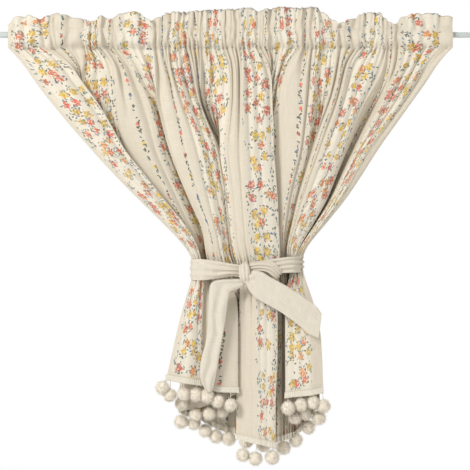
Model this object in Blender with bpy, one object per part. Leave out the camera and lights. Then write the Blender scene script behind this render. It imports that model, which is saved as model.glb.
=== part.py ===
"""Short tie-up window curtain, gathered on a thin spring tension rod.

Metres, +Z up. The origin is on the rod's axis, half way between the faces of its two feet. +X runs
along the rod and the room is towards -Y. One panel of cloth hangs from the rod by a pocket with a
ruffle above it, a knotted sash pulls it in at the waist, and below that it falls in layered flaps
whose hems carry a braid with pom-poms.
"""
import math

import bmesh
import bpy
from mathutils import Matrix, Vector

# ---- clearances
TOUCH = 0.0003          # between two pieces that touch on the real object
RUN = 0.0003            # between a piece and the bore it slides in
ROUND = 24              # sides of every round rod piece

# ---- rod
ROD_REACH = 0.880       # from the face of one foot to the face of the other
TUBE_D = 0.010
TUBE_WALL = 0.0008
INNER_WALL = 0.0007
FOOT_D = 0.017
FOOT_L = 0.014
FOOT_SOCKET = 0.0095    # how deep a tube sits in its foot
BARE_INNER = 0.0315     # inner tube left in sight between the outer tube and the right foot
INNER_L = 0.260
PLUG_L = 0.006
SPRING_L = 0.069
SPRING_WIRE = 0.0009
SPRING_TURNS = 10

# ---- panel of cloth
PANEL_LEFT = -0.3805    # the left end of the gathered pocket
PANEL_SPREAD = 0.745    # the width of the gathers on the rod
CLOTH_ROUND_ROD = 0.0012
POCKET_SKIN = 0.0045    # the gathered cloth round the rod, folds and all
POCKET_DROP = 0.029     # from the rod's axis to the seam under it
RUFFLE_DEPTH = 0.014
WAIST_LEFT = -0.0665
WAIST_W = 0.175
WAIST_DEPTH = 0.040
WAIST_Z = -0.3950       # half way up the sash
SHOULDER_Z = -0.3700    # where the gathered cloth runs into the sash
PLEATS = 9
PLEAT_RISE = 0.0045
FAN_DEPTH = 0.012       # of the pleated cloth just under the pocket

# ---- sash
SASH_W = 0.034
SASH_THICK = 0.0030
SASH_TILT = 0.045       # rise of the sash from left to right, as a slope
KNOT = Vector((0.0151, 0.0, -0.4000))
KNOT_R = Vector((0.0075, 0.0090, 0.0190))
LOOP_THICK = 0.0065
TAIL_THICK = 0.0030
TAIL_STAND_OFF = 0.0155  # between the sash and the back of a tail

# ---- hem, braid and pom-poms
HEM_LEFT = -0.1265
ROW_PITCH = 0.022       # from one row of flaps to the next, front to back
FLAP_DEPTH = 0.010
FLAP_GAP = 0.0005
GROOVE = 0.0070         # open fold between two neighbouring front flaps
BRAID_H = 0.0040
BRAID_THICK = 0.0020
POM_D = 0.021
POM_GAP = 0.0004
POM_STAGGER = 0.0038    # every second pom-pom hangs this much further back
STEM_R = 0.0008
STEM_L = 0.0010
STEM_DROP = 0.0006      # clear air under the braid, so that a pom-pom can swing

RELEASE_Z = WAIST_Z - SASH_W / 2 - SASH_TILT * WAIST_W / 2 - 0.001   # just under the sash

TUBE_R = TUBE_D / 2
INNER_R = TUBE_R - TUBE_WALL - RUN
POM_R = POM_D / 2
WAIST_MID = WAIST_LEFT + WAIST_W / 2
SASH_FRONT = -(WAIST_DEPTH / 2 + TOUCH + SASH_THICK)

COLOURS = {
    "white_enamel": ((0.74, 0.77, 0.75), 0.35, 0.0),
    "grey_rubber": ((0.45, 0.46, 0.46), 0.85, 0.0),
    "spring_steel": ((0.55, 0.55, 0.56), 0.35, 1.0),
    "white_plastic": ((0.78, 0.78, 0.76), 0.5, 0.0),
    "printed_cloth": ((0.72, 0.66, 0.55), 0.9, 0.0),
    "plain_cloth": ((0.74, 0.67, 0.56), 0.9, 0.0),
    "cotton_braid": ((0.70, 0.64, 0.53), 0.95, 0.0),
    "pom_yarn": ((0.76, 0.71, 0.60), 1.0, 0.0),
}


def clear_scene():
    for old in list(bpy.data.objects):
        bpy.data.objects.remove(old, do_unlink=True)


def collection(name):
    made = bpy.data.collections.new(name)
    bpy.context.scene.collection.children.link(made)
    return made


def material(name):
    if name in bpy.data.materials:
        return bpy.data.materials[name]
    colour, roughness, metallic = COLOURS[name]
    made = bpy.data.materials.new(name)
    made.use_nodes = True
    shader = made.node_tree.nodes["Principled BSDF"]
    shader.inputs["Base Color"].default_value = (*colour, 1.0)
    shader.inputs["Roughness"].default_value = roughness
    shader.inputs["Metallic"].default_value = metallic
    return made


def keep(name, bm, finish, at=(0.0, 0.0, 0.0), smooth=True):
    """Store a bmesh as the object of one piece, with its origin at a joint or a centre."""
    place = Vector(at)
    bmesh.ops.translate(bm, verts=bm.verts, vec=-place)
    bmesh.ops.recalc_face_normals(bm, faces=bm.faces)
    mesh = bpy.data.meshes.new(name)
    bm.to_mesh(mesh)
    bm.free()
    mesh.materials.append(material(finish))
    if smooth:
        mesh.shade_smooth()
    piece = bpy.data.objects.new(name, mesh)
    piece.location = place
    parts.objects.link(piece)
    return piece


def turned(outline, steps, closed):
    """Spin an outline of (radius, height) points about Z into one closed body."""
    bm = bmesh.new()
    verts = [bm.verts.new((radius, 0.0, height)) for radius, height in outline]
    edges = [bm.edges.new(pair) for pair in zip(verts, verts[1:])]
    if closed:
        edges.append(bm.edges.new((verts[-1], verts[0])))
    bmesh.ops.spin(bm, geom=verts + edges, cent=(0, 0, 0), axis=(0, 0, 1), angle=2 * math.pi,
                   steps=steps, use_merge=True)
    bmesh.ops.remove_doubles(bm, verts=bm.verts, dist=1e-6)
    return bm


def along_rod(bm, x):
    """Lay a body turned about Z along the rod, with its base at x and its top towards +X."""
    bmesh.ops.transform(bm, verts=bm.verts, matrix=Matrix.Translation((x, 0, 0)) @ Matrix.Rotation(
        math.pi / 2, 4, "Y"))
    return bm


def slab(outline, y_front, y_back):
    """A flat piece: an outline of (x, z) points, from y_front to y_back."""
    bm = bmesh.new()
    face = bm.faces.new([bm.verts.new((x, y_front, z)) for x, z in outline])
    grown = bmesh.ops.extrude_face_region(bm, geom=[face])
    moved = [item for item in grown["geom"] if isinstance(item, bmesh.types.BMVert)]
    bmesh.ops.translate(bm, verts=moved, vec=(0, y_back - y_front, 0))
    bmesh.ops.triangulate(bm, faces=[f for f in bm.faces if len(f.verts) > 4])
    return bm


def loft(rings):
    """Skin a stack of closed sections that have the same number of points, and close both ends."""
    bm = bmesh.new()
    loops = [[bm.verts.new(point) for point in ring] for ring in rings]
    count = len(loops[0])
    for low, high in zip(loops, loops[1:]):
        for i in range(count):
            j = (i + 1) % count
            bm.faces.new((low[i], low[j], high[j], high[i]))
    bm.faces.new(loops[0])
    bm.faces.new(list(reversed(loops[-1])))
    return bm


def mix(a, b, t):
    return a + (b - a) * t


# ---- rod

def tube(name, radius, wall, x_from, x_to, finish, at):
    ring = [(radius, x_to - x_from), (radius, 0.0), (radius - wall, 0.0), (radius - wall, x_to - x_from)]
    keep(name, along_rod(turned(ring, ROUND, True), x_from), finish, at)


def foot(name, side, tube_r, at):
    """A rubber cap: a flat face against the window's reveal, and a socket that the tube sits in."""
    bore = tube_r + TOUCH
    floor = FOOT_L - FOOT_SOCKET
    round_off = 0.0015
    outline = [(0.0, 0.0), (FOOT_D / 2 - round_off, 0.0), (FOOT_D / 2, round_off), (FOOT_D / 2, floor),
               (bore + 0.0022, FOOT_L), (bore, FOOT_L), (bore, floor), (0.0, floor)]
    bm = turned(outline, ROUND, False)
    if side > 0:
        bmesh.ops.rotate(bm, verts=bm.verts, cent=(0, 0, 0), matrix=Matrix.Rotation(math.pi, 3, "X"))
    keep(name, along_rod(bm, side * ROD_REACH / 2), "grey_rubber", at)


def spring(x_from, x_to):
    """The compression spring that pushes the two tubes apart, as a round wire on a helix."""
    steps = 10
    radius = INNER_R - SPRING_WIRE / 2 - RUN
    span = x_to - x_from - SPRING_WIRE
    curve = bpy.data.curves.new("compression_spring", "CURVE")
    curve.dimensions = "3D"
    curve.bevel_depth = SPRING_WIRE / 2
    curve.bevel_resolution = 0
    curve.use_fill_caps = True
    line = curve.splines.new("POLY")
    line.points.add(SPRING_TURNS * steps)
    for i, point in enumerate(line.points):
        turn = 2 * math.pi * i / steps
        x = SPRING_WIRE / 2 + span * i / (SPRING_TURNS * steps)
        point.co = (x, radius * math.cos(turn), radius * math.sin(turn), 1.0)
    curve.materials.append(material("spring_steel"))
    piece = bpy.data.objects.new("compression_spring", curve)
    piece.location = (x_from, 0, 0)
    parts.objects.link(piece)


def rod():
    end = ROD_REACH / 2
    seat = end - (FOOT_L - FOOT_SOCKET) - TOUCH
    outer_end = end - FOOT_L - BARE_INNER
    inner_start = seat - INNER_L
    slider = inner_start - TOUCH - PLUG_L
    stop = slider - 2 * TOUCH - SPRING_L - PLUG_L
    tube("outer_tube", TUBE_R, TUBE_WALL, -seat, outer_end, "white_enamel", (0, 0, 0))
    tube("inner_tube", INNER_R, INNER_WALL, inner_start, seat, "white_enamel", (inner_start, 0, 0))
    foot("left_foot", -1, TUBE_R, (-end, 0, 0))
    foot("right_foot", 1, INNER_R, (end, 0, 0))
    plug = [(0.0, 0.0), (INNER_R, 0.0), (INNER_R, PLUG_L), (0.0, PLUG_L)]
    keep("spring_stop", along_rod(turned(plug, ROUND, False), stop), "white_plastic", (stop, 0, 0))
    keep("sliding_plug", along_rod(turned(plug, ROUND, False), slider), "white_plastic", (slider, 0, 0))
    spring(stop + PLUG_L + TOUCH, slider - TOUCH)


# ---- gathered head of the panel

def arc(radius, angle_from, angle_to, steps):
    """Points (y, z) on an arc about the rod's axis. Angles in degrees, from +Y towards +Z."""
    out = []
    for i in range(steps + 1):
        angle = math.radians(mix(angle_from, angle_to, i / steps))
        out.append((radius * math.cos(angle), radius * math.sin(angle)))
    return out


def rod_pocket():
    """The pocket that the rod runs through: a drop-shaped sleeve, open from end to end."""
    bore = TUBE_R + CLOTH_ROUND_ROD
    skin = bore + POCKET_SKIN
    floor = POCKET_DROP - POCKET_SKIN
    inner = arc(bore, 0, 180, 12) + [(-bore * 0.8, -floor * 0.6), (-bore * 0.45, -floor),
                                     (bore * 0.45, -floor), (bore * 0.8, -floor * 0.6)]
    outer = arc(skin, 0, 180, 12) + [(-skin * 0.95, -POCKET_DROP * 0.6), (-skin * 0.35, -POCKET_DROP * 0.98),
                                     (skin * 0.35, -POCKET_DROP * 0.98), (skin * 0.95, -POCKET_DROP * 0.6)]
    bm = bmesh.new()
    ends = []
    for x in (PANEL_LEFT, PANEL_LEFT + PANEL_SPREAD):
        ends.append([[bm.verts.new((x, y, z)) for y, z in loop] for loop in (inner, outer)])
    count = len(inner)
    (in_l, out_l), (in_r, out_r) = ends
    for i in range(count):
        j = (i + 1) % count
        for quad in ((in_l, in_r), (out_r, out_l), (out_l, in_l), (in_r, out_r)):
            first, second = quad
            bm.faces.new((first[i], first[j], second[j], second[i]))
    keep("rod_pocket", bm, "printed_cloth", (0, 0, 0))


def header_ruffle():
    """The ruffle that stands above the pocket, with the rise and fall of its gathers on top."""
    foot_z = TUBE_R + CLOTH_ROUND_ROD + POCKET_SKIN + TOUCH
    crest = [0.018, 0.031, 0.033, 0.027, 0.035, 0.029, 0.022, 0.031, 0.027, 0.038, 0.024, 0.036, 0.040,
             0.041, 0.043, 0.046, 0.040, 0.044, 0.047, 0.046, 0.040, 0.022, 0.028, 0.038, 0.036, 0.020,
             0.032, 0.036, 0.034, 0.027]
    span = PANEL_SPREAD
    top = [(PANEL_LEFT + span * i / (len(crest) - 1), z) for i, z in enumerate(crest)]
    bottom = [(PANEL_LEFT + PANEL_SPREAD, foot_z), (PANEL_LEFT, foot_z)]
    keep("header_ruffle", slab(top + bottom, -RUFFLE_DEPTH / 2, RUFFLE_DEPTH / 2), "printed_cloth",
         (0, 0, 0), smooth=False)


# ---- gathered fan between the pocket and the sash

def bundle_half_depth(x, width, depth):
    """Half the depth of the gathered bundle at x: a flat oval, square-shouldered like tied cloth."""
    reach = min(abs(x - WAIST_MID) / (width / 2), 1.0)
    return depth / 2 * (1.0 - reach ** 4) ** 0.25


def upper_drape():
    """The fan of pleats: as wide as the pocket on top, drawn in to the waist."""
    rows, columns = 8, 45
    top = -POCKET_DROP - TOUCH
    rings = []
    for row in range(rows + 2):
        t = min(row / rows, 1.0)
        z = mix(top, SHOULDER_Z, t) if row <= rows else WAIST_Z + TOUCH / 2
        left = mix(PANEL_LEFT + 0.014, WAIST_LEFT, t ** 1.15)
        right = mix(PANEL_LEFT + PANEL_SPREAD - 0.011, WAIST_LEFT + WAIST_W, t ** 1.10)
        swing = math.sin(math.pi * min(t * 1.02, 1.0)) * PLEAT_RISE
        front, back = [], []
        for i in range(columns + 1):
            s = mix(0.004, 0.996, i / columns)
            x = mix(left, right, s)
            edge = (1.0 - abs(2 * s - 1) ** 4) ** 0.25
            half = mix(FAN_DEPTH, WAIST_DEPTH, t) / 2 * edge
            fold = swing * edge * math.cos(2 * math.pi * PLEATS * s)
            front.append(Vector((x, -half - fold, z)))
            back.append(Vector((x, half - fold, z)))
        rings.append(front + back[::-1])
    keep("upper_drape", loft(rings), "printed_cloth", (0, 0, 0))


# ---- layered flaps under the sash, with their braid and pom-poms

class Flap:
    """One fold of the panel below the waist: where it leaves the sash, its hem and its pom-poms."""

    def __init__(self, name, row, waist, start, poms, spare, hem):
        self.name = name
        self.y = row * ROW_PITCH
        self.row = row
        self.waist = [WAIST_LEFT + WAIST_W * share for share in waist]
        self.poms = poms
        self.pitch = math.sqrt((POM_D + POM_GAP) ** 2 - POM_STAGGER ** 2)
        self.first_pom = start + spare[0] * POM_D
        self.start = start
        self.end = self.first_pom + (poms - 1) * self.pitch + spare[1] * POM_D
        self.hem = hem

    def hem_z(self, x):
        return mix(self.hem[0], self.hem[1], (x - self.start) / (self.end - self.start))


def plan_flaps():
    """Set the flaps side by side. Row -1 is in front, 0 in the middle and 1 at the back."""
    left = Flap("left", -1, (0.004, 0.200), HEM_LEFT, 4, (0.30, 0.54), (-0.578, -0.587))
    mid_left = Flap("mid_left", -1, (0.203, 0.420), left.end + FLAP_GAP, 2, (0.54, 0.54), (-0.5965, -0.5975))
    centre = Flap("centre", -1, (0.423, 0.780), mid_left.end + GROOVE, 3, (0.56, 0.56), (-0.678, -0.692))
    # the right flap is shorter than the centre one, so it never starts left of where its top leaves the sash
    right_start = max(centre.end + GROOVE, WAIST_LEFT + WAIST_W * 0.783)
    right = Flap("right", -1, (0.783, 0.996), right_start, 4, (0.53, 0.30), (-0.602, -0.600))
    inner_left = Flap("inner_left", 0, (0.060, 0.400), left.end - 0.008, 2, (0.60, 0.60), (-0.6135, -0.6125))
    inner_right = Flap("inner_right", 0, (0.620, 0.990), right.start + 0.011, 3, (0.38, 0.38), (-0.621, -0.619))
    back_left = Flap("back_left", 1, (0.020, 0.540), HEM_LEFT + 0.0255, 5, (0.60, 0.60), (-0.632, -0.668))
    back_right = Flap("back_right", 1, (0.543, 0.980), centre.end - 0.001, 2, (0.60, 0.50), (-0.677, -0.676))
    return [left, mid_left, centre, right, inner_left, inner_right, back_left, back_right]


def flap_body(flap):
    """The cloth of one flap: from its share of the bundle under the sash to its hem."""
    rows, columns = 6, 8
    third = WAIST_DEPTH / 3
    rings = []
    for row in range(-1, rows + 1):
        t = max(row / rows, 0.0)
        spread = t ** 0.6
        front, back = [], []
        for i in range(columns + 1):
            s = i / columns
            x_top = mix(flap.waist[0], flap.waist[1], s)
            x_hem = mix(flap.start, flap.end, s)
            limit = bundle_half_depth(x_top, WAIST_W, WAIST_DEPTH) - TOUCH
            near = max(-limit, (flap.row - 0.5) * third + TOUCH)
            far = min(limit, (flap.row + 0.5) * third - TOUCH)
            x = mix(x_top, x_hem, spread)
            z = mix(RELEASE_Z, flap.hem_z(x_hem), t) if row >= 0 else WAIST_Z - TOUCH / 2
            fold = 0.0012 * t * math.cos(2 * math.pi * s * (flap.poms - 0.5))
            front.append(Vector((x, mix(near, flap.y - FLAP_DEPTH / 2 + fold, spread), z)))
            back.append(Vector((x, mix(far, flap.y + FLAP_DEPTH / 2 + fold, spread), z)))
        rings.append(front + back[::-1])
    keep("flap_" + flap.name, loft(rings), "printed_cloth", (flap.start, flap.y, WAIST_Z))


def braid(flap):
    """The cotton braid that carries the pom-poms, sewn under the hem of one flap."""
    high = [(x, flap.hem_z(x) - TOUCH) for x in (flap.start, flap.end)]
    low = [(x, z - BRAID_H) for x, z in reversed(high)]
    keep("braid_" + flap.name, slab(high + low, flap.y - BRAID_THICK / 2, flap.y + BRAID_THICK / 2),
         "cotton_braid", (flap.start, flap.y, flap.hem[0]), smooth=False)


def pom_poms(flap):
    """The pom-poms of one flap: a ball with the stub of thread that it hangs by."""
    neck = POM_R - math.sqrt(POM_R ** 2 - STEM_R ** 2)
    steps = 6
    outline = [(0.0, 0.0), (STEM_R, 0.0), (STEM_R, -STEM_L - neck)]
    for i in range(1, steps):
        angle = math.pi * i / steps
        outline.append((POM_R * math.sin(angle), -STEM_L - POM_R + POM_R * math.cos(angle)))
    outline.append((0.0, -STEM_L - 2 * POM_R))
    for i in range(flap.poms):
        x = flap.first_pom + i * flap.pitch
        y = flap.y + (POM_STAGGER if i % 2 else 0.0) - POM_STAGGER / 2
        z = flap.hem_z(x) - TOUCH - BRAID_H - STEM_DROP
        bm = turned(outline, 10, False)
        bmesh.ops.translate(bm, verts=bm.verts, vec=(x, y, z))
        keep(f"pom_pom_{flap.name}_{i + 1}", bm, "pom_yarn", (x, y, z))


# ---- sash

def sash_band():
    """The strip of cloth round the waist, closed behind the knot."""
    columns = 22
    rings = [[], []]
    for ring, extra in zip(rings, (TOUCH, TOUCH + SASH_THICK)):
        width, depth = WAIST_W + 2 * extra, WAIST_DEPTH + 2 * extra
        for side in (-1, 1):
            for i in range(columns):
                angle = math.pi * i / columns
                x = WAIST_MID + side * width / 2 * math.cos(angle)
                ring.append((x, side * bundle_half_depth(x, width, depth)))
    bm = bmesh.new()
    levels = []
    for rise in (-SASH_W / 2, SASH_W / 2):
        levels.append([[bm.verts.new((x, y, WAIST_Z + rise + SASH_TILT * (x - WAIST_MID)))
                        for x, y in ring] for ring in rings])
    (in_low, out_low), (in_high, out_high) = levels
    for i in range(len(in_low)):
        j = (i + 1) % len(in_low)
        for first, second in ((in_low, in_high), (out_high, out_low), (out_low, in_low), (in_high, out_high)):
            bm.faces.new((first[i], first[j], second[j], second[i]))
    keep("sash_band", bm, "plain_cloth", (WAIST_MID, 0, WAIST_Z))


def sash_knot():
    """The knot in front of the band, a squeezed oval of cloth."""
    y = SASH_FRONT - TOUCH - KNOT_R.y
    bm = bmesh.new()
    bmesh.ops.create_uvsphere(bm, u_segments=16, v_segments=10, radius=1.0)
    bmesh.ops.scale(bm, verts=bm.verts, vec=KNOT_R)
    bmesh.ops.translate(bm, verts=bm.verts, vec=(KNOT.x, y, KNOT.z))
    keep("sash_knot", bm, "plain_cloth", (KNOT.x, y, KNOT.z))


def from_knot(outline):
    return [(KNOT.x + x, KNOT.z + z) for x, z in outline]


def bow_loop():
    """The half bow that stands out of the knot to the right, flat against the band."""
    outline = [(0.0084, 0.0075), (0.0150, 0.0170), (0.0300, 0.0215), (0.0470, 0.0210), (0.0575, 0.0150),
               (0.0630, 0.0050), (0.0615, -0.0060), (0.0505, -0.0105), (0.0300, -0.0030), (0.0084, 0.0015)]
    front = SASH_FRONT - TOUCH - LOOP_THICK
    keep("bow_loop", slab(from_knot(outline), front, SASH_FRONT - TOUCH), "plain_cloth",
         (KNOT.x, front, KNOT.z))


def right_tail():
    """The long end that falls across the skirt to the right, cut off on a slant."""
    fall = SASH_W / math.cos(math.radians(33))
    upper = [(0.0084, 0.0015), (0.0284, -0.0005), (0.0654, -0.0215), (0.0999, -0.0430), (0.1214, -0.0560)]
    lower = [(x, z - fall) for x, z in upper[1:4]][::-1]
    tip = [(0.1290, -0.0720), (0.1320, -0.0980), (0.1270, -0.1060)]
    heel = [(0.0084, -0.0215)]
    back = SASH_FRONT - TAIL_STAND_OFF
    keep("right_tail", slab(from_knot(upper + tip + lower + heel), back - TAIL_THICK, back), "plain_cloth",
         (KNOT.x, back - TAIL_THICK / 2, KNOT.z + 0.0035))


def left_tail():
    """The end that turns over the band's lower edge and hangs straight down on the left."""
    inner = [(-0.0082, -0.0215), (-0.0151, -0.0270), (-0.0243, -0.0350), (-0.0269, -0.0455),
             (-0.0319, -0.0790), (-0.0386, -0.1210), (-0.0470, -0.1715), (-0.0521, -0.1900)]
    tip = [(-0.0588, -0.2025), (-0.0671, -0.1900)]
    outer = [(-0.0739, -0.1560), (-0.0722, -0.1415), (-0.0650, -0.1130), (-0.0605, -0.0790),
             (-0.0588, -0.0455), (-0.0571, -0.0195), (-0.0487, -0.0125), (-0.0319, -0.0110),
             (-0.0082, -0.0080)]
    back = SASH_FRONT - TAIL_STAND_OFF
    keep("left_tail", slab(from_knot(inner + tip + outer), back - TAIL_THICK, back), "plain_cloth",
         (KNOT.x, back - TAIL_THICK / 2, KNOT.z - 0.0065))


clear_scene()
parts = collection("tie_up_curtain")
rod()
rod_pocket()
header_ruffle()
upper_drape()
for one_flap in plan_flaps():
    flap_body(one_flap)
    braid(one_flap)
    pom_poms(one_flap)
sash_band()
sash_knot()
bow_loop()
right_tail()
left_tail()
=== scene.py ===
"""Short tie-up window curtain, gathered on a thin spring tension rod."""
import math

import bmesh
import bpy
import numpy as np
from mathutils import Matrix, Vector, noise


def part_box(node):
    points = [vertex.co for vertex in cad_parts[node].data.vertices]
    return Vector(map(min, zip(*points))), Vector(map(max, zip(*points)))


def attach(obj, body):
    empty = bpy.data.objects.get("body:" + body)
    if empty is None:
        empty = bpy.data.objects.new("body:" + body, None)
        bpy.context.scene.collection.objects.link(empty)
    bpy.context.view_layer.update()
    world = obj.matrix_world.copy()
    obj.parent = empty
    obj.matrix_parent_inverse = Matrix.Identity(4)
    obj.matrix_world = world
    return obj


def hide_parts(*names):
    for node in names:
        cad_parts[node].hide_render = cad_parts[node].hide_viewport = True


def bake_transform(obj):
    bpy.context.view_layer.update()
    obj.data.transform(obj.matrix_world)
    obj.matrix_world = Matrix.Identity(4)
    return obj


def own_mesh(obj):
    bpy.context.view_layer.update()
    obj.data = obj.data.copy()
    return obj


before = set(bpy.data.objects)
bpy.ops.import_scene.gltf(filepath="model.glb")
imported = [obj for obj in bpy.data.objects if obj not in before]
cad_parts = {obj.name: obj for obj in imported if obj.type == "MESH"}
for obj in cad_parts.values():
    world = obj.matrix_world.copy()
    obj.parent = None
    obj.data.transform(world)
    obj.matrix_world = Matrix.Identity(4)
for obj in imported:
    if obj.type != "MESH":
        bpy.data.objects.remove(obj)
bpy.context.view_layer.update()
MM = 0.001


# ---- Panel of cloth
# One sewn piece of slubby cotton and linen. Its top is turned over to the back and sewn twice, which
# makes the ruffle and the pocket for the rod. The rest falls in overlapping folds that the sash
# gathers, so every thread has the same way to go and the hem hangs in steps.
CLOTH_W, CLOTH_L = 1.362, 0.792
POCKET_TURN, RUFFLE_TURN = 0.041, 0.027        # cloth in one side of the pocket, and of the ruffle
RUFFLE_FOOT, POCKET_FOOT = 0.0115, -0.0225     # heights of the two seams
# The fold tables are in mm: across to the right, out to the front, and up from the rod's axis.
LEVELS = (-22, -42, -76, -110, -152, -194, -236, -278, -328, -362, -392, -420, -446, -496, -546, -614, -698)
FOLDS = (
    # place on the sewn cloth, across the room at each level, hem, and out at the fan, waist and hem
    (0, (-381, -360, -338, -312, -277, -240, -202, -160, -109, -77, -66, -76, -84, -97, -108, -124, -129),
     -577, (6, 6, 21)),
    (40, (-349, -324, -301, -272, -242, -212, -175, -138, -91, -67, -60, -64, -69, -76, -81, -87, -89),
     -582, (12, 13, 25)),
    (82, (-312, -279, -259, -230, -205, -183, -148, -116, -74, -59, -54, -52, -52, -53, -52, -52, -52),
     -587, (8, 15, 20)),
    (90, (-307, -276, -259, -232, -207, -186, -151, -118, -74, -59, -53, -50, -49, -49, -49, -49, -49),
     -590, (5, 8, 6)),
    (97, (-302, -274, -260, -234, -210, -192, -155, -121, -76, -59, -52, -47, -46, -45, -45, -45, -45),
     -593, (3, 6, 18)),
    (115, (-291, -265, -262, -244, -228, -210, -175, -139, -87, -64, -50, -32, -24, -20, -25, -30, -30),
     -597, (-2, -4, 24)),
    (150, (-255, -249, -260, -247, -237, -223, -190, -153, -99, -76, -49, 5, 8, 9, 9, 10, 10),
     -598, (-6, -12, 19)),
    (222, (-229, -205, -203, -200, -197, -186, -160, -129, -89, -67, -52, -49, -52, -54, -55, -55, -55),
     -624, (-3, -14, 2)),
    (255, (-210, -192, -181, -171, -160, -146, -126, -106, -79, -60, -52, -66, -76, -86, -92, -99, -99),
     -632, (2, -10, -12)),
    (290, (-195, -178, -163, -146, -133, -126, -108, -89, -69, -55, -49, -54, -60, -67, -74, -81, -81),
     -641, (-3, -8, -19)),
    (326, (-166, -156, -143, -126, -113, -99, -82, -66, -50, -45, -44, -42, -45, -49, -52, -57, -57),
     -648, (-8, -10, -20)),
    (362, (-138, -134, -133, -134, -124, -113, -97, -79, -54, -52, -44, -32, -32, -32, -32, -34, -34),
     -661, (4, 10, -20)),
    (395, (-121, -118, -109, -104, -94, -86, -72, -59, -42, -34, -32, -18, -15, -13, -12, -12, -12),
     -669, (9, 14, -19)),
    (430, (-111, -111, -102, -91, -76, -64, -54, -45, -32, -25, -22, -2, 5, 7, 8, 10, 10),
     -669, (9, 12, -17)),
    (500, (-81, -74, -69, -62, -45, -30, -24, -15, -10, -7, -2, 35, 42, 47, 50, 54, 54),
     -677, (1, 0, -10)),
    (565, (-55, -55, -54, -55, -39, -5, 2, 8, 8, 8, 8, 29, 29, 29, 30, 32, 32),
     -681, (-6, -8, 0)),
    (628, (-29, -18, -15, -17, -24, -29, -22, -15, -10, -7, 5, 8, 6, 3, 2, 0, 0),
     -676, (8, 12, 8)),
    (640, (-22, -10, -8, -8, -13, -20, -13, -8, -3, 0, 8, 12, 9, 6, 5, 3, 3),
     -677, (11, 15, 11)),
    (710, (10, 12, 12, 12, 13, 15, 17, 18, 22, 25, 30, 34, 35, 35, 35, 39, 39),
     -684, (15, 17, 24)),
    (785, (40, 55, 64, 64, 67, 67, 71, 74, 76, 77, 76, 74, 73, 72, 72, 69, 69),
     -692, (8, 14, 20)),
    (800, (45, 59, 62, 60, 62, 62, 66, 69, 72, 74, 74, 72, 71, 71, 71, 67, 67),
     -692, (3, 6, 13)),
    (852, (66, 66, 59, 52, 45, 32, 35, 39, 49, 55, 59, 49, 45, 44, 44, 44, 44),
     -689, (-5, -6, 5)),
    (920, (106, 87, 77, 71, 66, 64, 64, 66, 69, 72, 74, 76, 77, 77, 77, 77, 77),
     -681, (-2, -4, 1)),
    (955, (118, 118, 113, 113, 111, 108, 96, 87, 81, 79, 79, 81, 84, 86, 87, 87, 87),
     -679, (4, 4, -7)),
    (990, (133, 129, 128, 124, 119, 114, 104, 94, 86, 82, 82, 86, 91, 94, 96, 96, 96),
     -677, (1, 0, -14)),
    (1010, (143, 139, 136, 133, 129, 124, 114, 102, 89, 84, 84, 89, 96, 101, 102, 102, 102),
     -676, (-1, -4, -20)),
    (1036, (156, 153, 151, 146, 146, 146, 136, 123, 102, 92, 89, 92, 99, 104, 108, 109, 109),
     -669, (-7, -12, -18)),
    (1065, (171, 170, 165, 156, 139, 126, 114, 102, 92, 84, 87, 97, 104, 109, 113, 114, 114),
     -657, (5, 8, -12)),
    (1130, (212, 193, 185, 178, 163, 148, 131, 116, 99, 89, 92, 109, 119, 129, 134, 138, 138),
     -627, (10, 13, -2)),
    (1165, (232, 220, 205, 197, 183, 166, 150, 133, 109, 96, 97, 114, 124, 136, 141, 144, 144),
     -622, (10, 12, 3)),
    (1205, (252, 250, 240, 217, 202, 185, 170, 155, 126, 104, 101, 102, 108, 111, 114, 118, 118),
     -622, (5, 10, 5)),
    (1240, (264, 264, 257, 237, 213, 193, 173, 156, 124, 102, 97, 91, 89, 89, 91, 92, 92),
     -614, (-8, -4, 9)),
    (1265, (276, 277, 264, 247, 225, 202, 181, 161, 128, 104, 97, 84, 82, 82, 82, 82, 82),
     -607, (3, 8, 19)),
    (1340, (344, 323, 306, 284, 254, 223, 200, 176, 139, 111, 108, 111, 118, 126, 128, 129, 129),
     -602, (7, 10, 25)),
    (1362, (365, 344, 324, 299, 269, 239, 213, 185, 144, 114, 111, 121, 131, 143, 146, 148, 148),
     -598, (3, 5, 21)),
)
RUFFLE_TOP = (
    # across the room, and how high the ruffle's top edge stands there
    (-380, 18), (-370, 30), (-344, 32), (-328, 27), (-299, 36), (-269, 30), (-252, 27), (-244, 22),
    (-232, 27), (-227, 33), (-207, 27), (-197, 33), (-185, 38), (-160, 38), (-143, 23), (-129, 30),
    (-109, 38), (-59, 40), (-34, 43), (0, 43), (25, 47), (39, 39), (52, 43), (81, 48), (109, 46), (133, 48),
    (151, 38), (165, 25), (171, 18), (197, 28), (218, 38), (244, 38), (254, 25), (269, 18), (277, 28),
    (294, 35), (331, 37), (344, 34), (365, 28),
)
FOLD_ROUND, FALL_ROUND = 5.0, 14.0     # how softly the cloth turns across and down, in mm
COLUMNS, POCKET_ROWS, RUFFLE_ROWS, FALL_ROWS = 620, 8, 7, 96
TUCKED = ((100, 215), (300, 350), (515, 615), (800, 905), (1016, 1055), (1212, 1255))   # inside the folds
TUCKED_LOW = ((155, 600), (805, 1245))                                                 # under the sash
SASH_INSIDE = 19.5                     # how far out the sash lets the cloth stand, in mm
STEP = 2.0                             # between two threads of the fold tables, in mm
SEAM_FADE = 22.0                       # how far under the seam its rise dies away, in mm
SEWN = round(CLOTH_W / MM)


def soften(table, step, radius, axis):
    """Rounds off a table of positions, step apart, over a distance radius."""
    reach = int(3 * radius / step)
    bell = np.exp(-0.5 * (np.arange(-reach, reach + 1) * step / radius) ** 2)
    bell /= bell.sum()
    pad = [(reach, reach) if k == axis else (0, 0) for k in range(table.ndim)]
    wide = np.pad(table, pad, mode="reflect", reflect_type="odd")
    return np.apply_along_axis(lambda row: np.convolve(row, bell, "valid"), axis, wide)


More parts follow.
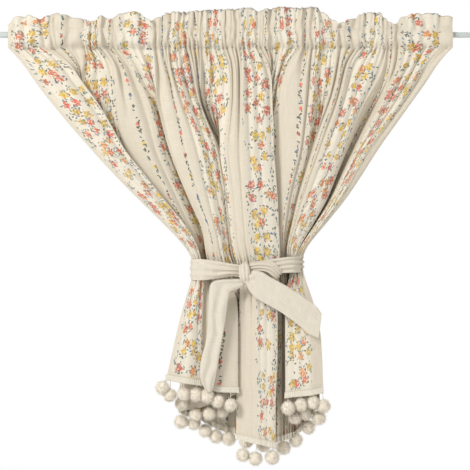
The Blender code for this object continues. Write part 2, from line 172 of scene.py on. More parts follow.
def puffs(at, pitch, seed):
    """Uneven round gathers with a sharp crease between each two, from 0 in a crease to 1."""
    rng = np.random.default_rng(seed)
    creases = np.cumsum(rng.uniform(0.7, 1.3, int(1.5 / pitch)) * pitch)
    number = np.searchsorted(creases, at)
    low = np.concatenate([[0.0], creases])[number]
    high = np.concatenate([creases, [creases[-1] + pitch]])[number]
    tall = rng.uniform(0.4, 1.0, len(creases) + 1)[number]
    return tall * np.sin(np.pi * (at - low) / (high - low)) ** 0.6


widths = np.linspace(0, SEWN, round(SEWN / STEP) + 1)
heights = np.linspace(LEVELS[0], LEVELS[-1], 226)
sewn = np.array([fold[0] for fold in FOLDS], float)
across = np.array([np.interp(widths, sewn, column) for column in zip(*[fold[1] for fold in FOLDS])])
across = np.array([np.interp(-heights, [-z for z in LEVELS], column) for column in across.T])
fan, waist, hem_out = (np.interp(widths, sewn, [fold[3][k] for fold in FOLDS]) for k in range(3))
down = np.interp(-heights, (22, 90, 190, 330, 375, 425, 470), (0.1, 0.9, 1.55, 1.75, 0, 0, 0))
pinch = np.interp(-heights, (22, 330, 375, 415, 470), (0, 0, 1.0, 1.0, 0))
loose = np.interp(-heights, (22, 415, 470, 700), (0, 0, 1.0, 1.0))
out = np.outer(fan, down) + np.outer(waist, pinch) + np.outer(hem_out, loose)
across, out = (soften(soften(t, STEP, FOLD_ROUND, 0), heights[0] - heights[1], FALL_ROUND, 1)
               for t in (across, out))
hem_height = soften(np.interp(widths, sewn, [fold[2] for fold in FOLDS]), STEP, 6.0, 0)
ruffle_x, ruffle_z = zip(*RUFFLE_TOP)

gathers = puffs(widths * MM, 0.029, 4)
small_gathers = puffs(widths * MM, 0.017, 9)
ruffle_wave = np.sin(np.cumsum(0.35 + 0.3 * small_gathers))


def inside(spans):
    """1 for the cloth within any of the spans, and 0 for the rest, with soft ends."""
    within = np.any([(widths > a) & (widths < b) for a, b in spans], axis=0)
    return soften(within.astype(float), STEP, 5.0, 0)


# Cloth keeps its width: where the folds take up less than they should, the rest goes into small gathers.
slant = np.gradient(across, heights, axis=1)
taken = np.hypot(np.gradient(across, STEP, axis=0) / np.sqrt(1 + slant ** 2), np.gradient(out, STEP, axis=0))
spare = soften(np.sqrt(np.clip(1 - taken ** 2, 0, 1)), STEP, 8.0, 0)
tucked = np.outer(inside(TUCKED), np.interp(-heights, (60, 130, 400, 440), (0, 1, 1, 0)))
tucked += np.outer(inside(TUCKED_LOW), np.interp(-heights, (400, 450), (0, 1)))
open_share = np.interp(-heights, (22, 60, 120, 180, 300, 352, 370, 384, 404, 418, 432, 500, 640),
                       (1.1, 1.15, 0.80, 0.46, 0.27, 0.24, 0.5, 1.2, 1.2, 0.6, 0.36, 0.20, 0.10))
broad = np.interp(-heights, (22, 70, 340, 366, 384, 404, 422), (0.35, 1, 0.9, 0.75, 0.3, 0.3, 1))
face_gather = np.outer(gathers - 0.45, broad * open_share) * 15.5
face_gather += np.outer(small_gathers - 0.45, (1.15 - broad) * open_share) * 11.5
out += face_gather * spare * (1 - tucked)
out -= np.outer(small_gathers, np.ones_like(heights)) * 17.5 * spare * tucked
held_in = np.interp(-heights, (350, 372, 415, 436), (0, 1, 1, 0))
out += (np.clip(out, -SASH_INSIDE, SASH_INSIDE) - out) * held_in


def seam_rise(u):
    """How far the gathers push the pocket's lower seam up or down, in mm."""
    return 6.0 * noise.noise(Vector((u / 34.0, 2.0, 0.0))) + 3.0 * noise.noise(Vector((u / 13.0, 5.0, 0.0)))


def pocket_and_ruffle(u):
    """The places of one thread from the back seam, up behind the rod, over the ruffle, to the front seam."""
    at = lambda t: np.interp(u, widths, t)
    x, first_out = at(across[:, 0]), at(out[:, 0])
    foot, seam = RUFFLE_FOOT * 1000, POCKET_FOOT * 1000
    turned, stood = POCKET_TURN * 1000, RUFFLE_TURN * 1000

    def relief(z):
        """Gathers whose creases slant to and fro between the seams: broad ones, small ones."""
        slid = u + 11 * noise.noise(Vector((u / 45.0, z / 20.0, 0.3)))
        return np.interp(slid, widths, gathers), np.interp(slid + 3, widths, small_gathers)

    foot += 2.2 * noise.noise(Vector((u / 38.0, 7.0, 0.0)))
    seam += seam_rise(u)
    tall, fine = relief(foot + 20)
    top = max(np.interp(x, ruffle_x, ruffle_z), 14) + fine * 3.4 + tall * 1.6 - 3.2
    row = []

    def seam_shift(z):
        broad_one, fine_one = relief(z)
        return 1.8 - 4.2 * broad_one - 2.0 * fine_one

    for k in range(POCKET_ROWS):
        t = k / POCKET_ROWS
        z = seam + t * (foot - seam)
        broad_one, fine_one = relief(z + 60)
        back = math.sin(math.pi * t) ** 0.7 * (5.6 + 3.2 * broad_one + 1.6 * fine_one)
        row.append((x, 1.0 - first_out * (1 - t) ** 2 + seam_shift(foot) * t ** 4 + back, z, t * turned))
    for side, rows in ((1, range(RUFFLE_ROWS)), (-1, range(RUFFLE_ROWS, 0, -1))):
        for k in rows:
            t = k / RUFFLE_ROWS
            z = foot + t * (top - foot)
            broad_one, fine_one = relief(z)
            lean = seam_shift(foot) + (3.4 - 7.5 * broad_one - 4.0 * fine_one) * t ** 0.6
            way = turned + (t if side > 0 else 2 - t) * stood
            aside = (4.5 * noise.noise(Vector((u / 30.0, 4.0, t * 0.4))) + at(ruffle_wave) * 1.5) * t
            row.append((x + aside, side * (1.0 - 0.5 * t) + lean, z, way))
    for k in range(POCKET_ROWS):
        t = k / POCKET_ROWS
        z = foot + t * (seam - foot)
        broad_one, fine_one = relief(z)
        bulge = math.sin(math.pi * t) ** 0.75 * (5.2 + 8.2 * broad_one + 4.2 * fine_one)
        y = -1.0 + seam_shift(foot) * (1 - t) ** 4 - bulge - first_out * t ** 3
        row.append((x, y, z, turned + 2 * stood + t * turned))
    return row


def run_of(line):
    """How far along a line of places each of them lies."""
    return np.concatenate([[0], np.cumsum(np.linalg.norm(np.diff(line, axis=0), axis=1))])


def fall(u):
    """The places of one thread from the front seam to the hem, evenly spaced along its length."""
    k = min(u / STEP, len(widths) - 1.001)
    i = int(k)
    at = lambda t: t[i] + (k - i) * (t[i + 1] - t[i])
    hem = at(hem_height)
    drop = np.append(heights[heights > hem], hem)
    xs, ys = np.interp(-drop, -heights, at(across)), -1.0 - np.interp(-drop, -heights, at(out))
    gone = run_of(np.stack([xs, ys, drop], axis=1))
    share = np.linspace(0, 1, FALL_ROWS + 1)
    turned = (2 * POCKET_TURN + 2 * RUFFLE_TURN) * 1000
    places = [np.interp(share * gone[-1], gone, way) for way in (xs, ys, drop)]
    places[2] = places[2] + seam_rise(u) * np.exp((places[2] - places[2][0]) / SEAM_FADE)
    return list(zip(*places, turned + share * (CLOTH_L * 1000 - turned)))


def as_mesh(name, bm, finish):
    """A smooth mesh in one finish, from a bmesh that isn't needed any more."""
    mesh = bpy.data.meshes.new(name)
    bm.to_mesh(mesh)
    bm.free()
    mesh.shade_smooth()
    mesh.materials.append(finish)
    return mesh


def stand(name, data):
    """A new object in the scene."""
    made = bpy.data.objects.new(name, data)
    bpy.context.scene.collection.objects.link(made)
    return made


def store(name, bm, finish):
    return stand(name, as_mesh(name, bm, finish))


def cloth_grid(columns, rows, place):
    """A grid of cloth, with its flat cut in metres as the UV map. place(share across, row) gives, in mm,
    where a point hangs, how far down the cut it lies, and how far across."""
    bm = bmesh.new()
    bmesh.ops.create_grid(bm, x_segments=columns, y_segments=rows, size=0.5)
    uv = bm.loops.layers.uv.new("cut")
    spots = {}
    for v in bm.verts:
        x, y, z, way, sewn_at = place(v.co.x + 0.5, round((v.co.y + 0.5) * rows))
        v.co = Vector((x, y, z)) * MM
        spots[v] = (sewn_at * MM, way * MM)
    for face in bm.faces:
        for loop in face.loops:
            loop[uv].uv = spots[loop.vert]
    return bm


FIRST_FALL = 2 * POCKET_ROWS + 2 * RUFFLE_ROWS
threads = [pocket_and_ruffle(u) + fall(u) for u in np.linspace(0, SEWN, COLUMNS + 1)]
panel_bm = cloth_grid(COLUMNS, FIRST_FALL + FALL_ROWS,
                      lambda i, row: (*threads[round(i * COLUMNS)][row], i * SEWN))
bmesh.ops.reverse_faces(panel_bm, faces=panel_bm.faces)


class Wiring:
    """Short ways to lay shader nodes and join them."""

    def __init__(self, tree):
        self.tree = tree

    def add(self, kind, **settings):
        node = self.tree.nodes.new(kind)
        for name, value in settings.items():
            setattr(node, name, value)
        return node

    def join(self, value, socket):
        if isinstance(value, bpy.types.NodeSocket):
            self.tree.links.new(value, socket)
        else:
            socket.default_value = value

    def fed(self, kind, values, **settings):
        """The outputs of a new node, whose inputs take the values in order, or by name from a dict."""
        node = self.add(kind, **settings)
        named = values.items() if isinstance(values, dict) else enumerate(values)
        for place, value in named:
            self.join(value, node.inputs[place])
        return node.outputs

    def math(self, operation, *values):
        return self.fed("ShaderNodeMath", values, operation=operation)[0]

    def plus(self, a, b):
        return self.math("ADD", a, b)

    def minus(self, a, b):
        return self.math("SUBTRACT", a, b)

    def times(self, a, b):
        return self.math("MULTIPLY", a, b)

    def below(self, a, b):
        return self.math("LESS_THAN", a, b)

    def length(self, x, y):
        return self.math("SQRT", self.plus(self.times(x, x), self.times(y, y)))

    def vector(self, operation, *values):
        return self.fed("ShaderNodeVectorMath", values, operation=operation)[0]

    def parts(self, vector):
        return tuple(self.fed("ShaderNodeSeparateXYZ", (vector,)))

    def colours(self, colour):
        return tuple(self.fed("ShaderNodeSeparateColor", (colour,)))[:3]

    def point(self, x, y, z=0.0):
        return self.fed("ShaderNodeCombineXYZ", (x, y, z))[0]

    def noise(self, vector, scale, detail=2.0, rough=0.5):
        given = {"Vector": vector, "Scale": scale, "Detail": detail, "Roughness": rough}
        return self.fed("ShaderNodeTexNoise", given)["Fac"]

    def cells(self, vector, random):
        """Cells one unit wide: the way from the middle as a vector, a random colour, and the middle."""
        given = {"Vector": vector, "Scale": 1.0, "Randomness": random}
        cell = self.fed("ShaderNodeTexVoronoi", given, voronoi_dimensions="2D")
        return self.vector("SUBTRACT", vector, cell["Position"]), cell["Color"], cell["Position"]

    def step(self, value, low, high):
        """0 below low, 1 above high, and smooth between."""
        given = {"Value": value, "From Min": low, "From Max": high}
        return self.fed("ShaderNodeMapRange", given, interpolation_type="SMOOTHSTEP")[0]

    def mix(self, share, a, b, blend="MIX"):
        node = self.add("ShaderNodeMix", data_type="RGBA", blend_type=blend)
        self.join(share, node.inputs["Factor"])
        for value, name in ((a, "A_Color"), (b, "B_Color")):
            socket = next(s for s in node.inputs if s.identifier == name)
            self.join(value if isinstance(value, bpy.types.NodeSocket) else (*value, 1.0), socket)
        return next(s for s in node.outputs if s.identifier == "Result_Color")

    def pick(self, value, *stops):
        """One of several colours, by where the value falls."""
        ramp = self.add("ShaderNodeValToRGB")
        ramp.color_ramp.interpolation = "CONSTANT"
        for k, (at, colour) in enumerate(stops):
            stop = ramp.color_ramp.elements[k] if k < 2 else ramp.color_ramp.elements.new(at)
            stop.position, stop.color = at, (*colour, 1.0)
        self.join(value, ramp.inputs[0])
        return ramp.outputs[0]


def dye(red, green, blue):
    """A colour as mixed on a shade card, 0 to 255, as light."""
    return tuple(c / 255 / 12.92 if c <= 10 else ((c / 255 + 0.055) / 1.055) ** 2.4
                 for c in (red, green, blue))


def new_finish(name):
    made = bpy.data.materials.new(name)
    made.use_nodes = True
    return made, Wiring(made.node_tree), made.node_tree.nodes["Principled BSDF"]


def relieve(w, shader, height, strength, depth):
    """Raises the surface by a height map, as much as depth in metres."""
    bump = w.fed("ShaderNodeBump", {"Strength": strength, "Distance": depth, "Height": height})
    w.join(bump[0], shader.inputs["Normal"])


def set_plain(shader, **values):
    """Sets what is the same all over the surface, on the shader's own sockets."""
    for name, value in values.items():
        shader.inputs[name.replace("_", " ")].default_value = value


def shared_group(name, inputs, outputs):
    group = bpy.data.node_groups.new(name, "ShaderNodeTree")
    for kind, sockets in (("INPUT", inputs), ("OUTPUT", outputs)):
        for label, form in sockets:
            group.interface.new_socket(name=label, in_out=kind, socket_type="NodeSocket" + form)
    w = Wiring(group)
    return group, w, w.add("NodeGroupInput").outputs, w.add("NodeGroupOutput").inputs


def plain_weave():
    """Slubby cotton and linen: thread height, and how much lighter or darker the yarn is."""
    group, w, given, gives = shared_group("plain_weave", [("Cut", "Vector")],
                                          [("Height", "Float"), ("Shade", "Float")])
    u, v, _ = w.parts(given["Cut"])
    warp = w.math("ABSOLUTE", w.math("SINE", w.times(u, math.pi / 0.0009)))
    weft = w.math("ABSOLUTE", w.math("SINE", w.times(v, math.pi / 0.0010)))
    warp_slub = w.noise(w.point(w.times(u, 900.0), w.times(v, 34.0)), 1.0, 3.0, 0.6)
    weft_slub = w.noise(w.point(w.times(u, 30.0), w.times(v, 800.0)), 1.0, 3.0, 0.6)
    slub = w.plus(w.times(warp_slub, 0.55), w.times(weft_slub, 0.45))
    thread = w.times(w.plus(warp, weft), 0.32)
    w.join(w.plus(thread, w.times(slub, 1.6)), gives["Height"])
    w.join(w.plus(w.times(w.minus(slub, 0.5), 0.55), 1.0), gives["Shade"])
    return group


WEAVE = plain_weave()
REPEAT, STRIPE_MID, STRIPE_HALF, SPRIG_MID = 0.140, 0.045, 0.036, 0.115        # across the cloth, in m
PETALS = 350.0                                 # petals to a metre
SPRIG_STEP = 0.042                             # from one flower on a sprig to the next
SPRIG_LOST = 4                                 # the sprig that the middle tuck swallows


def flower_print():
    """Broad stripes of small blossoms and leaves on a pale ground, with a fine sprig between each two."""
    group, w, given, gives = shared_group("flower_print", [("Cut", "Vector")],
                                          [("Ink", "Color"), ("Inked", "Float"), ("Ground", "Float")])
    cut = given["Cut"]

    def beside(u, line):
        """How far u lies to one side of the nearest repeat of a line of the pattern, in metres."""
        turn = w.math("FLOORED_MODULO", w.plus(u, REPEAT / 2 - line + 10 * REPEAT), REPEAT)
        return w.minus(turn, REPEAT / 2)

    def from_line(vector, line, scale):
        return w.math("ABSOLUTE", beside(w.math("DIVIDE", w.parts(vector)[0], scale), line))

    ragged = w.noise(cut, 420.0, 2.0, 0.6)
    drift = w.times(w.minus(w.noise(cut, 14.0, 1.0), 0.5), 0.016)
    swayed = w.vector("ADD", cut, w.point(drift, 0.0))

    def scattered(per_metre, shift):
        return w.vector("ADD", w.vector("MULTIPLY", swayed, (per_metre, per_metre, 0.0)), shift)

    def blossoms(per_metre, size, share, half, line, seed):
        shift = (seed, seed * 1.7, 0.0)
        offset, chance, middle = w.cells(scattered(per_metre, shift), 0.85)
        red, green, blue = w.colours(chance)
        dx, dy, _ = w.parts(offset)
        reach = w.length(dx, dy)
        around = w.plus(w.times(w.math("ARCTAN2", dy, dx), 5.0), w.times(blue, 6.28))
        petal = w.math("MULTIPLY_ADD", w.math("COSINE", around), 0.16, 0.84)
        edge = w.times(petal, w.math("MULTIPLY_ADD", green, 0.35 * size, 0.75 * size))
        rough_reach = w.plus(reach, w.times(w.minus(ragged, 0.5), 0.9 * size))
        mask = w.minus(1.0, w.step(w.minus(rough_reach, edge), -0.05 * size, 0.10 * size))
        away = from_line(w.vector("SUBTRACT", middle, shift), line, per_metre)
        mask = w.times(w.times(mask, w.below(away, half)), w.below(green, share))
        petal_off, petal_chance, _ = w.cells(w.vector("MULTIPLY", cut, (PETALS, PETALS, 0.0)), 0.9)
        px, py, _ = w.parts(petal_off)
        mask = w.times(mask, w.minus(1.0, w.step(w.length(px, py), 0.52, 0.72)))
        bunch = w.times(w.minus(1.0, w.step(reach, 0.50, 0.60)), w.below(green, share))
        return mask, red, w.colours(petal_chance)[0], bunch

    def leaves(per_metre, long, wide, seed):
        shift = (seed, seed * 0.6, 0.0)
        offset, chance, middle = w.cells(scattered(per_metre, shift), 1.0)
        red, green, blue = w.colours(chance)
        dx, dy, _ = w.parts(offset)
        turn = w.times(red, 2 * math.pi)
        c, s = w.math("COSINE", turn), w.math("SINE", turn)
        along = w.plus(w.times(dx, c), w.times(dy, s))
        aside = w.minus(w.times(dy, c), w.times(dx, s))
        aside = w.plus(aside, w.times(w.times(along, along), 0.9))
        along, aside = w.math("DIVIDE", along, long), w.math("DIVIDE", aside, wide)
        shape = w.plus(w.times(along, along), w.times(aside, aside))
        mask = w.minus(1.0, w.step(w.plus(shape, w.times(ragged, 0.5)), 0.85, 1.25))
        return mask, green, blue, w.vector("SUBTRACT", middle, shift)

    yellow, coral, orange = dye(224, 186, 56), dye(222, 92, 72), dye(228, 142, 70)
    big, tone, petal, around_big = blossoms(47.0, 0.42, 0.84, STRIPE_HALF - 0.008, STRIPE_MID, 3.1)
    petals = w.pick(tone, (0.0, coral), (0.36, yellow), (0.84, orange))
    petals = w.mix(w.times(w.step(petal, 0.50, 0.60), 0.42), petals, dye(150, 112, 44))
    petals = w.mix(w.times(w.below(petal, 0.22), 0.55), petals, dye(240, 206, 168))

    u, v, _ = w.parts(swayed)
    turn = beside(u, SPRIG_MID)
    knot_at = w.math("FLOOR", w.math("DIVIDE", v, SPRIG_STEP))
    line_at = w.math("FLOOR", w.math("DIVIDE", w.plus(u, REPEAT / 2 - SPRIG_MID), REPEAT))
    luck = w.noise(w.point(w.times(knot_at, 5.37), w.times(line_at, 3.11)), 1.0, 0.0)
    along = w.minus(w.minus(v, w.times(knot_at, SPRIG_STEP)), SPRIG_STEP / 2)
    along = w.plus(along, w.times(w.minus(luck, 0.5), 0.05))
    reach = w.length(turn, along)
    kept = w.minus(1.0, w.math("COMPARE", line_at, SPRIG_LOST, 0.5))
    small = w.minus(1.0, w.step(w.plus(reach, w.times(ragged, 0.0060)), 0.0060, 0.0070))
    small = w.times(small, kept)
    small_petals = w.pick(luck, (0.0, dye(222, 118, 98)), (0.47, dye(222, 190, 90)),
                          (0.60, dye(120, 132, 168)))

    ink, inked = w.mix(big, small_petals, petals), w.math("MAXIMUM", small, big)
    for per_metre, long, wide, seed, share in ((132.0, 0.47, 0.20, 1.3, 0.72),
                                               (150.0, 0.47, 0.19, 9.2, 0.42)):
        mask, chance, tone, middle = leaves(per_metre, long, wide, seed)
        grown = w.below(chance, w.math("MULTIPLY_ADD", around_big, share - 0.05, 0.05))
        in_stripe = w.times(w.below(from_line(middle, STRIPE_MID, per_metre), STRIPE_HALF), grown)
        in_sprig = w.times(w.below(from_line(middle, SPRIG_MID, per_metre), 0.0030), w.below(chance, 0.88))
        in_sprig = w.times(in_sprig, kept)
        leaf = w.times(mask, w.math("MAXIMUM", in_stripe, in_sprig))
        leaf = w.times(leaf, w.minus(1.0, w.times(big, 0.6)))
        green = w.pick(tone, (0.0, dye(64, 84, 86)), (0.24, dye(88, 126, 126)), (0.52, dye(122, 130, 80)),
                       (0.66, dye(104, 144, 162)), (0.84, dye(82, 76, 68)), (0.94, dye(106, 112, 150)))
        green = w.mix(w.times(in_sprig, 0.6), green, dye(66, 68, 66))
        ink = w.mix(leaf, ink, green)
        inked = w.math("MAXIMUM", inked, leaf)
    across_cut, down_cut, _ = w.parts(cut)
    fade = w.times(w.step(down_cut, 0.004, 0.006), w.step(w.minus(CLOTH_L, down_cut), 0.009, 0.011))
    fade = w.times(fade, w.step(w.minus(CLOTH_W, across_cut), 0.016, 0.018))
    w.join(ink, gives["Ink"])
    w.join(w.times(inked, fade), gives["Inked"])
    pale = w.minus(1.0, w.step(from_line(cut, STRIPE_MID, 1.0), STRIPE_HALF - 0.010, STRIPE_HALF + 0.004))
    w.join(w.times(pale, fade), gives["Ground"])
    return group


PRINT = flower_print()


def cloth_finish(name, base, printed=False):
    """Woven cloth, with the print on its face and showing faintly through to its back."""
    made, w, shader = new_finish(name)
    cut = w.add("ShaderNodeUVMap", uv_map="cut").outputs[0]
    weave = w.fed("ShaderNodeGroup", {"Cut": cut}, node_tree=WEAVE)
    colour = w.mix(0.0, base, base)
    if printed:
        flowers = w.fed("ShaderNodeGroup", {"Cut": cut}, node_tree=PRINT)
        back = w.add("ShaderNodeNewGeometry").outputs["Backfacing"]
        strength = w.times(flowers["Inked"], w.math("MULTIPLY_ADD", back, -0.62, 0.92))
        colour = w.mix(w.times(flowers["Ground"], 0.45), colour, dye(236, 229, 213))
        colour = w.mix(strength, colour, flowers["Ink"])
    shade = w.point(*(weave["Shade"],) * 3)
    w.join(w.mix(1.0, colour, shade, "MULTIPLY"), shader.inputs["Base Color"])
    relieve(w, shader, weave["Height"], 0.35, 0.0006)
    set_plain(shader, Roughness=0.92, Specular_IOR_Level=0.2, Sheen_Weight=0.08, Sheen_Roughness=0.5)
    return made


printed_cloth = cloth_finish("printed_cloth", dye(214, 204, 185), printed=True)
panel = store("curtain_panel", panel_bm, printed_cloth)
FLAPS = ("left", "mid_left", "centre", "right", "inner_left", "inner_right", "back_left", "back_right")
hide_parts("rod_pocket", "header_ruffle", "upper_drape", *("flap_" + flap for flap in FLAPS))
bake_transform(panel)


# ---- Sash
# One plain strip of the same cloth, sewn double and tied round the waist. It is gathered to about
# two thirds of its width as a band, crosses at the knot, and leaves a half bow and two ends.
SASH_W, SASH_THICK = 38.0, 0.0011              # the strip's finished width in mm, and both layers in m
sash_cloth = cloth_finish("sash_cloth", dye(216, 207, 190))


def smooth_line(points, at):
    """Places on a smooth curve through the points; at counts from 0 at the first point."""
    p = np.array(points, float)
    p = np.vstack([2 * p[0] - p[1], p, 2 * p[-1] - p[-2]])
    k = np.minimum(at.astype(int), len(points) - 2)
    f = (at - k)[:, None]
    a, b, c, d = p[k], p[k + 1], p[k + 2], p[k + 3]
    return 0.5 * (2 * b + (c - a) * f + (2 * a - 5 * b + 4 * c - d) * f ** 2
                  + (3 * b - a - 3 * c + d) * f ** 3)


def unit(rows):
    return rows / np.linalg.norm(rows, axis=-1, keepdims=True)


def sash_ribbon(name, left, right, pleats=3.0, crown=1.2, deepest=2.4, columns=150, rows=24, seed=1):
    """A length of the strip between two edges in mm, face up when left is left of the way it runs."""
    at = np.linspace(0, len(left) - 1, columns + 1)
    one, other = smooth_line(left, at), smooth_line(right, at)
    middle, side = (one + other) / 2, other - one
    face = unit(np.cross(np.gradient(middle, axis=0), side))
    wide = np.linalg.norm(side, axis=1)
    gone = run_of(middle)
    slack = np.sqrt(2 * np.clip((SASH_W / wide) ** 2 - 1, 0, None)) * wide / (2 * math.pi * pleats)
    deep = np.clip(0.85 * slack, 0.25, deepest)

    def place(i, row):
        k, v = round(i * columns), row / rows
        wander = noise.noise(Vector((gone[k] / 45.0, seed, v * 0.6))) * 0.5
        crumple = noise.noise(Vector((gone[k] / 9.0, v * 3.5, seed + 5.0))) * 0.5
        out = crown * math.sin(math.pi * v) ** 0.7 + crumple
        level = math.sin(math.pi * min(max(v, 0.04), 0.96)) ** 0.3
        out += deep[k] * math.sin(2 * math.pi * (pleats * v + wander)) * level
        return (*(one[k] * (1 - v) + other[k] * v + face[k] * out), gone[k], v * SASH_W)

    piece = store(name, cloth_grid(columns, rows, place), sash_cloth)
    solid = piece.modifiers.new("two_layers", "SOLIDIFY")
    solid.thickness, solid.offset = SASH_THICK, 0.0
    return piece, gone[-1] * MM


# The band round the waist, from behind the knot to the left, round the back, and to the knot again:
# across, to the back, and its two edges up from the rod's axis.
BAND_WAY = ((14, -28, -387, -408), (-5, -26.5, -384.5, -405), (-28.5, -25.5, -380, -409),
            (-54, -23.5, -376.7, -412), (-71.5, -9, -377, -412), (-71, 9, -377.5, -412),
            (-53, 24, -378, -411), (20, 25.5, -376, -408), (95, 24, -372, -400), (113.5, 1, -371.5, -399),
            (102, -19, -372.5, -399), (85, -25.5, -373.5, -399.5), (50, -27.5, -378.5, -401),
            (18, -28, -386, -405))
band, band_long = sash_ribbon("sash_band_cloth", [(x, y, top) for x, y, top, low in BAND_WAY],
                              [(x, y, low) for x, y, top, low in BAND_WAY], columns=420, seed=2)

# The half bow: a loop of the strip that leaves the knot, turns over at its tip, and comes back behind.
loop, loop_long = sash_ribbon(
    "half_bow",
    ((16, -29, -399), (33, -32.5, -397), (50, -33.5, -397), (61, -33, -404), (68, -30, -410),
     (66, -26.5, -409), (55, -26, -402), (38, -26, -398), (18, -27, -397)),
    ((16, -29, -389), (28, -32, -382), (45, -33, -379), (62, -33, -380), (76, -30, -394), (75, -26.5, -396),
     (60, -26, -382), (40, -26, -382), (18, -27, -388)), pleats=3.0, deepest=1.7, seed=3)

# The knot: a round core of cloth with one turn of the strip pulled tight over it, slanting to the right.
KNOT_AT, KNOT_HALF = (15.5, -32.5, -400.5), (7.6, 6.4, 16.0)           # mm
knot_bm = bmesh.new()
bmesh.ops.create_icosphere(knot_bm, subdivisions=4, radius=1.0, matrix=Matrix.Diagonal((*KNOT_HALF, 1.0)))
cut_layer = knot_bm.loops.layers.uv.new("cut")
for v in knot_bm.verts:
    fold = math.sin(v.co.x * 1.1 + v.co.z * 0.55) * 0.0315
    v.co = (Vector(KNOT_AT) + v.co * (1 + fold)) * MM
for face in knot_bm.faces:
    for corner in face.loops:
        corner[cut_layer].uv = (corner.vert.co.x, corner.vert.co.z)
knot_core = store("knot_core", knot_bm, sash_cloth)
knot, _ = sash_ribbon(
    "sash_knot_turn",
    ((9, -26, -386), (7, -34, -388), (6.5, -39, -395), (7, -41.5, -403), (9, -39.5, -411), (12, -34, -418),
     (14, -26, -418)),
    ((20, -27, -381), (21.5, -35, -384), (23.5, -39, -390), (25, -40.5, -398), (25, -39, -406),
     (24, -34, -413), (22, -27, -414)),
    pleats=3.0, deepest=0.9, crown=1.6, columns=90, seed=4)

# The two ends, of uneven length: the left one falls over the cloth, the right one stands away to the side.
left_end, left_long = sash_ribbon(
    "left_sash_end",
    ((13, -36, -409), (-5, -38, -410), (-25, -39, -411), (-39, -39.5, -416), (-43, -40, -432),
     (-44, -40, -456), (-45, -39.5, -482), (-49, -39, -516), (-56, -38.5, -543), (-58, -38.5, -570),
     (-49, -39, -595)),
    ((13, -36, -422), (2, -38, -427), (-7, -39, -430), (-10, -39.5, -436), (-12, -40, -447),
     (-14, -40, -464), (-17, -39.5, -484), (-23, -39, -518), (-28, -38.5, -548), (-33, -38.5, -577),
     (-39, -39, -598)),
    pleats=1.5, deepest=1.5, columns=200, seed=5)
right_end, right_long = sash_ribbon(
    "right_sash_end",
    ((17, -37, -415), (24, -39, -429), (35, -40, -441), (52, -40.5, -451), (72, -41, -462), (92, -41, -476),
     (108, -40.5, -488), (121, -40, -500), (139, -40, -508)),
    ((22, -37, -398), (32, -39, -396), (45, -40, -398), (62, -40.5, -408), (84, -41, -420),
     (101, -41, -431), (118, -40.5, -442), (133, -40, -453), (144, -40, -467)),
    pleats=2.0, deepest=1.9, columns=180, seed=6)

for piece, node, body in ((band, "sash_band", "drape"), (loop, "bow_loop", "drape"),
                          (knot, "sash_knot", "drape"), (left_end, "left_tail", "left_sash_tail"),
                          (right_end, "right_tail", "right_sash_tail")):
    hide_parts(node)
    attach(piece, body)
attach(knot_core, "drape")


# ---- Stitching
# Cotton thread, three millimetres to a stitch: the two seams that close the rod pocket, in front and
# behind, the narrow hem down each side, and the hem along the bottom.
STITCH, STITCH_PITCH, STITCH_R = 2.3, 3.2, 0.26          # mm
cloth_at = np.array([[place[:3] for place in thread] for thread in threads])
cloth_out = unit(np.cross(np.gradient(cloth_at, axis=1), np.gradient(cloth_at, axis=0)))


def fibre_finish(name, base, dark, grain, bump_mm, sheen):
    """Spun or fluffed cotton: soft mottling and fibres on Object coordinates."""
    made, w, shader = new_finish(name)
    at = w.add("ShaderNodeTexCoord").outputs["Object"]
    fibres, mottle = w.noise(at, grain, 4.0, 0.65), w.noise(at, grain / 9.0, 2.0)
    colour = w.mix(w.step(fibres, 0.30, 0.62), dark, base)
    lighter = tuple(min(1.0, c * 1.07) for c in base)
    colour = w.mix(w.times(w.step(mottle, 0.45, 0.75), 0.35), colour, lighter)
    w.join(colour, shader.inputs["Base Color"])
    relieve(w, shader, fibres, 0.6, bump_mm * MM)
    set_plain(shader, Roughness=0.95, Specular_IOR_Level=0.15, Sheen_Weight=sheen, Sheen_Roughness=0.6)
    return made


thread_finish = fibre_finish("sewing_thread", dye(236, 228, 212), dye(214, 203, 182), 2600.0, 0.1, 0.1)


def short_thread(bm, middle, way, sides, thick, thin, long):
    """A straight piece of thread about middle, lying the way that way points."""
    turn = way.to_track_quat("Z", "Y").to_matrix().to_4x4()
    bmesh.ops.create_cone(bm, cap_ends=True, segments=sides, radius1=thick, radius2=thin, depth=long,
                          matrix=Matrix.Translation(middle) @ turn)


def stitches(name, line, out):
    """A row of stitches along a line on the cloth, which lie on its face."""
    gone = run_of(line)
    bm = bmesh.new()
    for at in np.arange(STITCH_PITCH / 2, gone[-1] - STITCH, STITCH_PITCH):
        here, ahead, up = (np.array([np.interp(t, gone, axis) for axis in rows.T])
                           for t, rows in ((at, line), (at + STITCH, line), (at, out)))
        way = Vector(ahead - here)
        middle = Vector((here + ahead) / 2 + up * 0.35)
        short_thread(bm, middle * MM, way, 5, STITCH_R * MM, STITCH_R * MM, way.length * MM)
    piece = store(name, bm, thread_finish)
    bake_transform(piece)
    return piece


SIDE_HEM, HEM_ROW = 7, -3                                # threads in from a side, and rows up from the hem
for name, row in (("ruffle_seam_back", POCKET_ROWS), ("pocket_seam_back", 0),
                  ("ruffle_seam_front", POCKET_ROWS + 2 * RUFFLE_ROWS), ("pocket_seam_front", FIRST_FALL)):
    stitches(name, cloth_at[:, row], cloth_out[:, row + 1])
stitches("bottom_hem_seam", cloth_at[:, HEM_ROW], cloth_out[:, HEM_ROW])
for name, column in (("left_hem_seam", SIDE_HEM), ("right_hem_seam", -1 - SIDE_HEM)):
    stitches(name, cloth_at[column, FIRST_FALL:], cloth_out[column, FIRST_FALL:])


